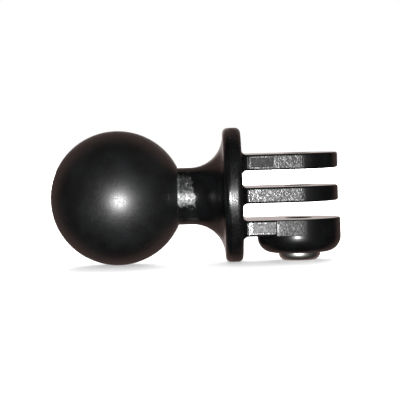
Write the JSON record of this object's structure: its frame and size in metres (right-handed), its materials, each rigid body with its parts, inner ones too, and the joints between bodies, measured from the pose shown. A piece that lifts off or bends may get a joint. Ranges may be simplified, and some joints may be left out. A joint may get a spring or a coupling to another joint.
{
  "type": "ball to three-prong clevis adapter",
  "caption": "Adapter with a rubber-covered mounting ball on a flared neck and flange, and a parallel-prong clevis with a captive lock nut.",
  "frame": {"origin": "centre of the ball", "axes": "+X from the ball to the prongs, along the neck; +Z along the clevis bore, away from the nut; +Y completes the frame"},
  "size_m": [0.0548, 0.0254, 0.0254],
  "materials": {
    "glass_filled_nylon": "satin moulded black, smooth neck and flange, fine spark texture on the prongs' sides",
    "cover_rubber": "smooth satin black rubber",
    "nut_steel": "bright plain steel",
    "ring_nylon": "plain translucent nylon"
  },
  "bodies": {
    "root": {"adapter_body": "glass_filled_nylon", "ball_cover": "cover_rubber", "lock_nut": "nut_steel", "locking_ring": "ring_nylon"}
  },
  "joints": []
}
